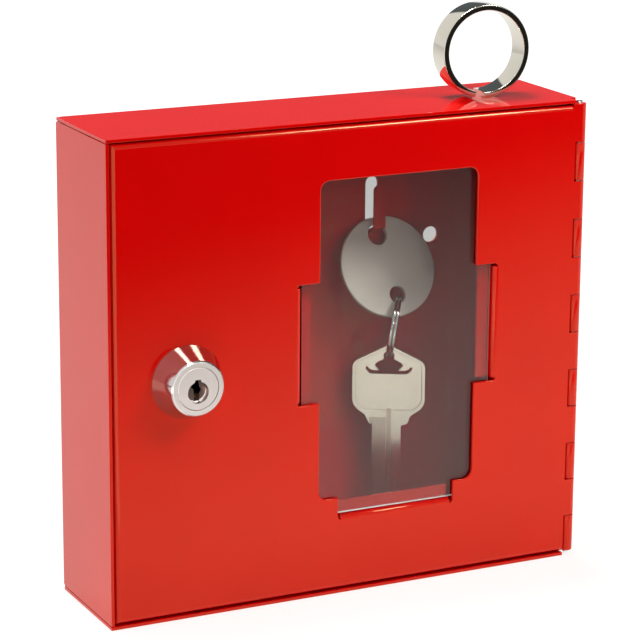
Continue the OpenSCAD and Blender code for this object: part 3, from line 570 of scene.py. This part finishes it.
metalValues = {
    "ringSteel": {
        "colour": (0.635, 0.60, 0.515, 1), "second": (0.61, 0.585, 0.51, 1), "edge": (0.76, 0.74, 0.69, 1),
        "roughness": (0.03, 0.06), "grain": 2500.0, "slow": 120.0, "brush": (1.0, 1.0, 1.0),
        "rubScale": 500.0, "rubAlong": (1.0, 0.08, 1.0), "rubShare": 0.15, "rubRough": 0.10,
        "edgeAmount": 0.3, "dust": 0.0, "relief": 0.0004 * mm,
    },
    "linkChrome": {
        "colour": (0.80, 0.79, 0.77, 1), "second": (0.74, 0.74, 0.73, 1), "edge": (0.90, 0.89, 0.87, 1),
        "roughness": (0.05, 0.09), "grain": 2500.0, "slow": 120.0, "brush": (1.0, 1.0, 1.0),
        "rubScale": 500.0, "rubAlong": (1.0, 0.08, 1.0), "rubShare": 0.15, "rubRough": 0.10,
        "edgeAmount": 0.3, "dust": 0.0, "relief": 0.0006 * mm,
    },
    "lockChrome": {
        "colour": (0.62, 0.57, 0.57, 1), "second": (0.58, 0.53, 0.53, 1), "edge": (0.80, 0.78, 0.77, 1),
        "patch": {  # the rim round the plug, paler and duller than the cone
            "centre": (-55, 75), "radius": 8.9, "depths": (-29.4, -28.95),
            "colour": (0.95, 0.90, 0.885, 1), "rougher": 0.22,
        },
        "roughness": (0.08, 0.12), "grain": 1800.0, "slow": 160.0, "brush": (1.0, 0.2, 1.0),
        "rubScale": 500.0, "rubAlong": (1.0, 0.08, 1.0), "rubShare": 0.2, "rubRough": 0.08,
        "edgeAmount": 0.3, "dust": 0.03, "relief": 0.0008 * mm,
    },
    "zincPlate": {
        "colour": (0.66, 0.66, 0.63, 1), "second": (0.60, 0.57, 0.47, 1), "edge": (0.75, 0.75, 0.73, 1),
        "roughness": (0.26, 0.42), "grain": 900.0, "slow": 260.0, "brush": (1.0, 1.0, 1.0),
        "rubScale": 350.0, "rubAlong": (0.15, 1.0, 1.0), "rubShare": 0.5, "rubRough": 0.12,
        "edgeAmount": 0.6, "dust": 0.06, "relief": 0.004 * mm,
    },
    "brightSteel": {
        "colour": (0.74, 0.74, 0.73, 1), "second": (0.66, 0.66, 0.66, 1), "edge": (0.82, 0.82, 0.81, 1),
        "roughness": (0.16, 0.26), "grain": 1600.0, "slow": 150.0, "brush": (1.0, 1.0, 0.1),
        "rubScale": 400.0, "rubAlong": (1.0, 1.0, 0.1), "rubShare": 0.4, "rubRough": 0.1,
        "edgeAmount": 0.4, "dust": 0.03, "relief": 0.002 * mm,
    },
    "plugNickel": {
        "colour": (0.95, 0.885, 0.865, 1), "second": (0.92, 0.85, 0.835, 1), "edge": (0.97, 0.93, 0.91, 1),
        "patch": {  # painted shade: the keyhole's recess darkened in colour, as if in shadow
            "centre": (-55, 74.2), "radius": 3.3, "depths": (-28.75, 10.0),
            "colour": (0.16, 0.11, 0.10, 1), "rougher": -0.1,
        },
        "roughness": (0.30, 0.38), "grain": 2200.0, "slow": 200.0, "brush": (1.0, 1.0, 1.0),
        "rubScale": 420.0, "rubAlong": (0.12, 1.0, 1.0), "rubShare": 0.35, "rubRough": 0.08,
        "edgeAmount": 0.5, "dust": 0.03, "relief": 0.0015 * mm,
    },
    "brass": {
        "colour": (0.78, 0.60, 0.32, 1), "second": (0.70, 0.50, 0.25, 1), "edge": (0.86, 0.72, 0.44, 1),
        "roughness": (0.24, 0.36), "grain": 1500.0, "slow": 300.0, "brush": (1.0, 1.0, 1.0),
        "rubScale": 600.0, "rubAlong": (1.0, 1.0, 0.1), "rubShare": 0.4, "rubRough": 0.1,
        "edgeAmount": 0.4, "dust": 0.02, "relief": 0.002 * mm,
    },
    "tagSteel": {
        "colour": (0.80, 0.757, 0.70, 1), "second": (0.77, 0.73, 0.67, 1), "edge": (0.83, 0.80, 0.76, 1),
        "metallic": 0.5, "roughness": (0.64, 0.72), "grain": 1200.0, "slow": 60.0, "brush": (1.0, 1.0, 1.0),
        "rubScale": 320.0, "rubAlong": (0.3, 1.0, 0.12), "rubShare": 0.3, "rubRough": 0.10,
        "edgeAmount": 0.6, "dust": 0.03, "relief": 0.002 * mm,
    },
    "keyNickel": {
        "colour": (0.95, 0.90, 0.80, 1), "second": (0.91, 0.85, 0.74, 1), "edge": (0.97, 0.94, 0.87, 1),
        "patch": {  # painted shade: the sunk parts between the key's two faces are darker in colour, and rougher
            "across": (-0.5, -0.866025, 0), "middle": -21.1446, "half": 0.5,
            "colour": (0.74, 0.68, 0.59, 1), "rougher": 0.08,
        },
        "roughness": (0.20, 0.24), "grain": 2600.0, "slow": 90.0, "brush": (1.0, 1.0, 0.5),
        "rubScale": 380.0, "rubAlong": (1.0, 1.0, 0.08), "rubShare": 0.05, "rubRough": 0.04,
        "edgeAmount": 0.3, "dust": 0.0, "relief": 0.0004 * mm,
    },
}

sawnValues = {
    "colour": (0.80, 0.82, 0.80, 1),
    "marks": (0.62, 0.64, 0.62, 1),
    "markInputs": {"Scale": 1600.0, "Slow": 240.0, "Stretch": (1.0, 0.15, 1.0)},
    "roughness": (0.45, 0.65),
    "relief": 0.01 * mm,
}


def sawnEdge(values):
    # The pane's cut edge, frosted by the saw
    material, tree, shader = startMaterial("sawnEdge", values["colour"])
    marks = effect(tree, "grain", **values["markInputs"])
    colour = mixColour(tree, marks["Height"], values["colour"], values["marks"])
    tree.links.new(colour, shader.inputs["Base Color"])
    rough = spread(tree, marks["Tone"], *noiseRange, *values["roughness"])
    tree.links.new(rough, shader.inputs["Roughness"])
    bump(tree, shader, marks["Height"], values["relief"])
    return material


finishes = {name: metal(name, values, metalCommon) for name, values in metalValues.items()}
finishes["casePaint"] = redEnamel("casePaint", enamelValues, 0.0)
finishes["doorPaint"] = redEnamel("doorPaint", enamelValues, 5.0)
finishes["clearPane"] = clearPane(paneValues)
finishes["sawnEdge"] = sawnEdge(sawnValues)
print("finishes made:", len(finishes))


largeFlat = 30  # mm2, faces from this size keep their own normals
squareOn = 0.99999  # largest part of the normal of a face that lies along the axes


def finishPiece(shape, name, finish, body, slot, smooth=35.0):
    for face in shape.faces:
        small = face.calc_area() < largeFlat * mm * mm
        face.smooth = small and max(abs(c) for c in face.normal) < squareOn
    for edge in shape.edges:
        edge.smooth = edge.calc_face_angle(math.pi) < math.radians(smooth)
    mesh = bpy.data.meshes.new(name)
    shape.to_mesh(mesh)
    shape.free()
    mesh.materials.append(finishes[finish])
    piece = bpy.data.objects.new(name, mesh)
    bpy.context.scene.collection.objects.link(piece)
    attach(piece, body)
    return piece


sheetValues = {
    "weld": 0.002,  # mm, points closer than this are one
    "flat": 0.4,  # degrees, faces that turn by less are one
    "turned": 30,  # degrees, edges that turn by more are rounded
    "ahead": 0.02,  # mm behind the foremost point, still the front outline
}


def sheetCopy(node, values):
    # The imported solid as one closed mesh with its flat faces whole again
    shape = bmesh.new()
    shape.from_mesh(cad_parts[node].data)
    bmesh.ops.remove_doubles(shape, verts=shape.verts, dist=values["weld"] * mm)
    flat = math.radians(values["flat"])
    bmesh.ops.dissolve_limit(shape, angle_limit=flat, verts=shape.verts, edges=shape.edges)
    return shape


def roundEdges(shape, edges, width, segments):
    bmesh.ops.bevel(shape, geom=edges, offset=width, offset_type="OFFSET", segments=segments,
                    profile=0.5, affect="EDGES", clamp_overlap=False, material=-1)


def softEdges(shape, piece, values):
    # Rounds the turned edges, so that they catch the light
    front, width = piece["front"] * mm, piece["rest"] * mm
    side, foot = piece.get("upTo", math.inf) * mm, piece.get("above", -math.inf) * mm
    nearest = min(v.co.y for v in shape.verts) + values["ahead"] * mm
    turned = [e for e in shape.edges if e.is_manifold
              and e.calc_face_angle(0) > math.radians(values["turned"])
              and all(v.co.x < side and v.co.z > foot for v in e.verts)]
    if front > width:
        ahead = [e for e in turned if all(v.co.y < nearest for v in e.verts)]
        behind = set(turned) - set(ahead)
        roundEdges(shape, ahead, front, piece["steps"] + 1)
        turned = [e for e in behind if e.is_valid and all(len(v.link_edges) == 3 for v in e.verts)]
    roundEdges(shape, turned, width, piece["steps"])


softPieces = {  # front and rest: rounding of the front outlines and of the others, in mm
    "body_shell": {
        "names": ("caseShell", "casePaint", "case", "case_paint"), "front": 0.10, "rest": 0.10, "steps": 2,
    },
    "door_panel": {
        "names": ("doorSheet", "doorPaint", "door", "door_paint"), "front": 0.30, "rest": 0.12, "steps": 2,
        "upTo": 72.5,  # mm, left of the knuckles
    },
    "keeper_bracket": {
        "names": ("keeperBracket", "zincPlate", "case", "zinc"), "front": 0.10, "rest": 0.10, "steps": 2,
    },
    "lock_nut": {
        "names": ("lockNut", "zincPlate", "door", "zinc"), "front": 0.15, "rest": 0.15, "steps": 2,
    },
    "lock_cam": {
        "names": ("lockCam", "zincPlate", "plug", "zinc"), "front": 0.15, "rest": 0.15, "steps": 2,
    },
    "cam_stop": {
        "names": ("camStop", "zincPlate", "plug", "zinc"), "front": 0.10, "rest": 0.10, "steps": 2,
    },
    "cam_screw": {
        "names": ("camScrew", "zincPlate", "plug", "zinc"), "front": 0.08, "rest": 0.08, "steps": 2,
    },
    "key_tag": {
        "names": ("keyTag", "tagSteel", "tag", "tag"), "front": 0.12, "rest": 0.12, "steps": 3,
    },
    "spare_key": {
        "names": ("spareKey", "keyNickel", "key", "key"), "front": 0.0, "rest": 0.09, "steps": 2,
        "above": 46.8,  # mm, on its bow only
    },
}

for node, values in softPieces.items():
    shape = sheetCopy(node, sheetValues)
    softEdges(shape, values, sheetValues)
    piece = finishPiece(shape, *values["names"])
    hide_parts(node)
    print("softened", piece.name, len(piece.data.vertices), "points")


# The CAD nodes' own finishes, also under the pieces that stand for them
nodeFinishes = {
    "casePaint": ["body_shell"],
    "doorPaint": ["door_panel"],
    "clearPane": ["break_pane"],
    "lockChrome": ["lock_housing"],
    "plugNickel": ["lock_plug"],
    "brass": ["wafer_1", "wafer_2", "wafer_3", "wafer_4", "wafer_5"],
    "brightSteel": ["hinge_pin", "wafer_springs"],
    "zincPlate": [
        "keeper_bracket", "lock_washer", "lock_nut", "cam_stop", "lock_cam", "cam_washer", "cam_screw",
    ],
    "tagSteel": ["key_tag"],
    "keyNickel": ["spare_key"],
    "linkChrome": ["link_ring"],
    "ringSteel": ["loose_ring"],
}

for finish, nodes in nodeFinishes.items():
    for node in nodes:
        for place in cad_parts[node].material_slots:
            place.material = finishes[finish]


def ringSection(shape, low, high, front, back, corner, segments):
    # Rounded section across a ring, in the plane of X and Y, with the ring's middle at the origin
    bmesh.ops.create_grid(shape, x_segments=1, y_segments=1, size=0.5)
    bmesh.ops.scale(shape, vec=(high - low, back - front, 1), verts=shape.verts)
    bmesh.ops.translate(shape, vec=((high + low) / 2, (front + back) / 2, 0), verts=shape.verts)
    bmesh.ops.bevel(shape, geom=list(shape.verts), offset=corner, offset_type="OFFSET", segments=segments,
                    profile=0.5, affect="VERTICES", clamp_overlap=True, material=-1)


def turnShape(shape, matrix):
    bmesh.ops.rotate(shape, cent=(0, 0, 0), matrix=matrix, verts=shape.verts)


def sweepRound(shape, geometry, axis, angle, steps, rise=(0, 0, 0)):
    made = bmesh.ops.spin(shape, geom=geometry, cent=(0, 0, 0), axis=axis, dvec=rise,
                          angle=math.radians(angle), steps=steps, use_merge=False, use_duplicate=False)
    return made["geom_last"]


def everything(shape):
    return shape.verts[:] + shape.edges[:] + shape.faces[:]


ringValues = {
    "centre": (53.5, -5.7, 164.6),  # mm, middle of its front face
    "outside": 29.2,
    "wall": 1.8,
    "band": 8.5,
    "corner": 0.18,
    "cornerSteps": 5,
    "yaw": 4.0,  # degrees
    "gap": (-14.6, -1.9),  # degrees from straight below, where the band is open
    "steps": 120,
    "crease": 50.0,
}


def looseRing(v):
    shape = bmesh.new()
    outside = v["outside"] / 2
    ringSection(shape, outside - v["wall"], outside, 0, v["band"], v["corner"], v["cornerSteps"])
    start, end = v["gap"][1] - 90, v["gap"][0] + 270  # from the gap's right side round to its left
    turnShape(shape, Matrix.Rotation(math.radians(-start), 3, "Y"))
    sweepRound(shape, everything(shape), (0, 1, 0), start - end, v["steps"])
    bmesh.ops.recalc_face_normals(shape, faces=shape.faces)
    turnShape(shape, Matrix.Rotation(-math.radians(v["yaw"]), 3, "Z"))
    bmesh.ops.translate(shape, vec=v["centre"], verts=shape.verts)
    bmesh.ops.scale(shape, vec=(mm, mm, mm), verts=shape.verts)
    piece = finishPiece(shape, "looseRing", "ringSteel", "top_ring", "chrome", v["crease"])
    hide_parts("loose_ring")
    print("loose ring", len(piece.data.vertices), "points")


looseRing(ringValues)


splitValues = {
    "centre": (28.95, 7.70, 75.94),
    "outside": 20.4,
    "wire": (1.5, 1.04),  # across and along the axis
    "halfGroove": 0.03,
    "corner": 0.32,
    "cornerSteps": 3,
    "yaw": 30.0,  # degrees
    "lean": 8.5,
    "turn": 336.0,  # degrees of each turn before the wire steps over
    "start": 200.0,
    "steps": 72,
    "stepsOver": 10,
    "crease": 50.0,
}


def splitRing(v):
    # Two turns side by side: round once, across by one wire, and round again
    shape = bmesh.new()
    high, (across, along), groove = v["outside"] / 2, v["wire"], v["halfGroove"]
    ringSection(shape, high - across, high, groove, groove + along, v["corner"], v["cornerSteps"])
    turnShape(shape, Matrix.Rotation(-math.radians(v["start"]), 3, "Y"))
    side = -(along + 2 * groove)
    whole, over = (v["turn"], 0, v["steps"]), (360 - v["turn"], side, v["stepsOver"])
    last = everything(shape)
    for angle, step, count in (whole, over, whole):
        last = sweepRound(shape, last, (0, 1, 0), -angle, count, (0, step / count, 0))
    bmesh.ops.recalc_face_normals(shape, faces=shape.faces)
    # The ring's axis from Y to the way that it hangs in the tag
    hang = Matrix.Rotation(-math.radians(v["yaw"]), 3, "Z") @ Matrix.Rotation(math.radians(v["lean"]), 3, "Y")
    turnShape(shape, hang @ Matrix.Rotation(-math.pi / 2, 3, "Z"))
    bmesh.ops.translate(shape, vec=v["centre"], verts=shape.verts)
    bmesh.ops.scale(shape, vec=(mm, mm, mm), verts=shape.verts)
    piece = finishPiece(shape, "splitRing", "linkChrome", "split_ring", "chrome", v["crease"])
    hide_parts("link_ring")
    print("split ring", len(piece.data.vertices), "points")


splitRing(splitValues)


coilValues = {
    "first": (-50.5, -20.6, 72.0),  # mm, foot of the first wafer's spring
    "pitch": 2.6,
    "count": 5,
    "length": 3.0,
    "outside": 1.4,
    "wire": 0.26,
    "wireSides": 8,
    "turns": 6,
    "stepsPerTurn": 20,
}


def oneCoil(v, place):
    coil = bmesh.new()
    radius = (v["outside"] - v["wire"]) / 2
    rise = (v["length"] - v["wire"]) / v["turns"] / v["stepsPerTurn"]
    bmesh.ops.create_circle(coil, cap_ends=True, segments=v["wireSides"], radius=v["wire"] / 2,
                            matrix=Matrix.Rotation(math.pi / 2, 4, "X"))
    bmesh.ops.translate(coil, vec=(radius, 0, v["wire"] / 2), verts=coil.verts)
    steps = v["stepsPerTurn"] * v["turns"]
    sweepRound(coil, everything(coil), (0, 0, 1), 360 * v["turns"], steps, (0, 0, rise))
    bmesh.ops.recalc_face_normals(coil, faces=coil.faces)
    bmesh.ops.translate(coil, vec=place, verts=coil.verts)
    return coil


def coilSprings(v):
    shape = bmesh.new()
    x, y, z = v["first"]
    for i in range(v["count"]):
        coil = oneCoil(v, (x, y + i * v["pitch"], z))
        part = bpy.data.meshes.new("coil")
        coil.to_mesh(part)
        coil.free()
        shape.from_mesh(part)
        bpy.data.meshes.remove(part)
    bmesh.ops.scale(shape, vec=(mm, mm, mm), verts=shape.verts)
    piece = finishPiece(shape, "coilSprings", "brightSteel", "plug", "bright_steel")
    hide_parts("wafer_springs")
    print("coil springs", len(piece.data.vertices), "points")


coilSprings(coilValues)


paneShape = {
    "edge": 0.12,  # mm, broken edge all round the pane
    "steps": 2,
    "sawn": 0.5,  # faces that look up or down by more than this are sawn
    "crease": 20.0,
}


def breakPane(v):
    low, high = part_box("break_pane")
    shape = bmesh.new()
    bmesh.ops.create_cube(shape, size=1)
    bmesh.ops.scale(shape, vec=high - low, verts=shape.verts)
    bmesh.ops.translate(shape, vec=(low + high) / 2, verts=shape.verts)
    bmesh.ops.bevel(shape, geom=shape.edges[:], offset=v["edge"] * mm, offset_type="OFFSET",
                    segments=v["steps"], profile=0.5, affect="EDGES", clamp_overlap=True, material=-1)
    for face in shape.faces:
        face.material_index = 1 if abs(face.normal.z) > v["sawn"] else 0
    piece = finishPiece(shape, "breakPane", "clearPane", "pane", "pane", v["crease"])
    piece.data.materials.append(finishes["sawnEdge"])
    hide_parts("break_pane")
    print("break pane", len(piece.data.vertices), "points")


breakPane(paneShape)
print("pieces made")
